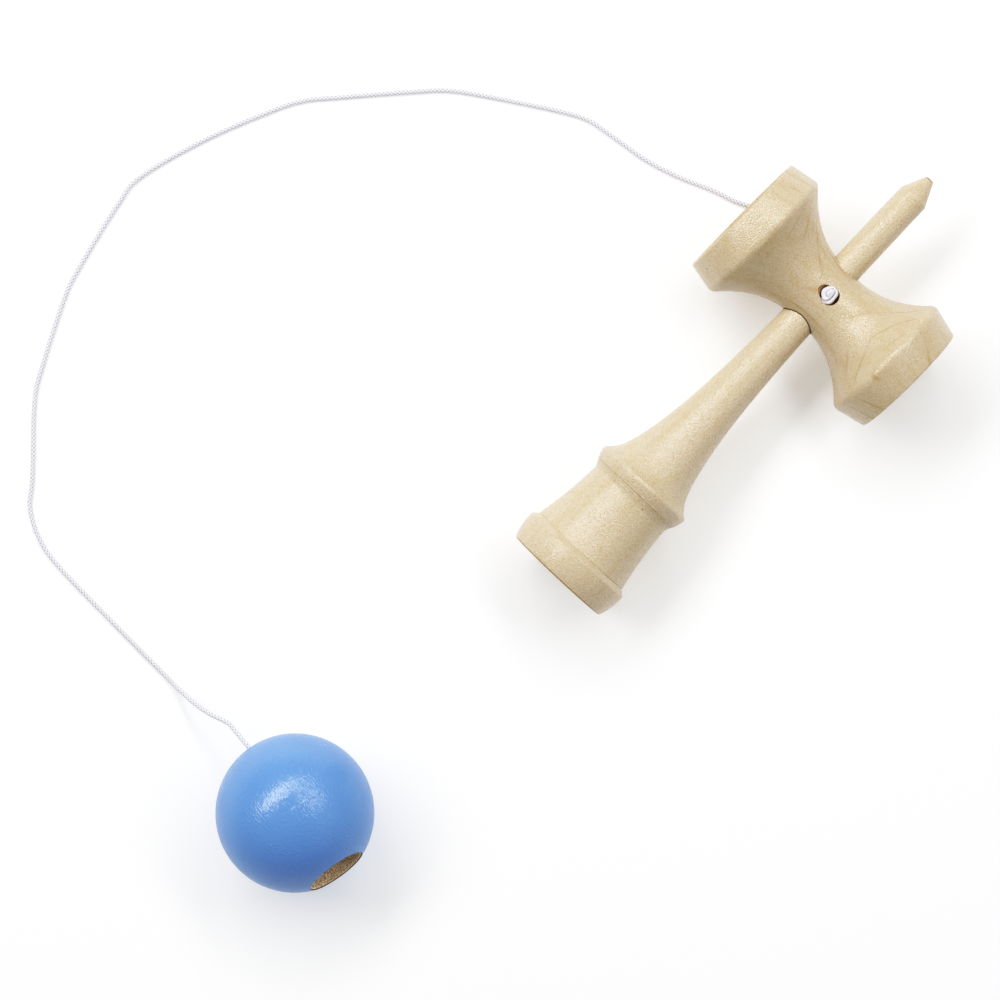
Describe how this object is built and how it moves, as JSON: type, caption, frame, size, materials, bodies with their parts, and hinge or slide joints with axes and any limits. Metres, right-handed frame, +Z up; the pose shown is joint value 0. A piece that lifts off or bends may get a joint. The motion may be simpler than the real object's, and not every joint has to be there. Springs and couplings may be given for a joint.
{
  "type": "cup and ball toy",
  "caption": "Turned wooden cup and ball toy lying on its side: handle with base cup and spike, crosspiece with two cups, and a painted holed ball tied on a braided cord.",
  "frame": {"origin": "on the table, under the middle of the box around the handle, crosspiece and ball", "axes": "+X along the handle towards its spike, +Y towards the big cup of the crosspiece, +Z up from the table"},
  "size_m": [0.2884, 0.2114, 0.047],
  "materials": {
    "turned_wood": "turned pale hardwood under a thin satin lacquer",
    "painted_wood": "semi-gloss blue paint on turned wood, bare wood in the hole",
    "braided_cord": "thin white braided cord",
    "bead_wood": "plain turned wood"
  },
  "bodies": {
    "handle": {"handle": "turned_wood", "crosspiece": "turned_wood", "stopper_knot": "braided_cord", "cord_in_handle": "braided_cord", "cord_lead": "braided_cord"},
    "cord": {"cord_free": "braided_cord"},
    "bead": {"bead": "bead_wood", "end_knot": "braided_cord", "cord_in_ball": "braided_cord"},
    "ball": {"ball": "painted_wood"}
  },
  "joints": [
    {"name": "cord_swing", "type": "hinge", "parent": "handle", "child": "cord", "pos_m": [0.10261, 0.03831, 0.0008], "axis": [0, 0, 1], "range_deg": [-45, 45]},
    {"name": "ball_swing", "type": "hinge", "parent": "cord", "child": "bead", "pos_m": [-0.11675, 0.03235, 0.01734], "axis": [0, 0, 1], "range_deg": [-30, 30]},
    {"name": "ball_spin", "type": "hinge", "parent": "bead", "child": "ball", "pos_m": [-0.12069, 0.01001, 0.0235], "axis": [-0.1676, -0.9504, 0.2622], "continuous": true}
  ]
}
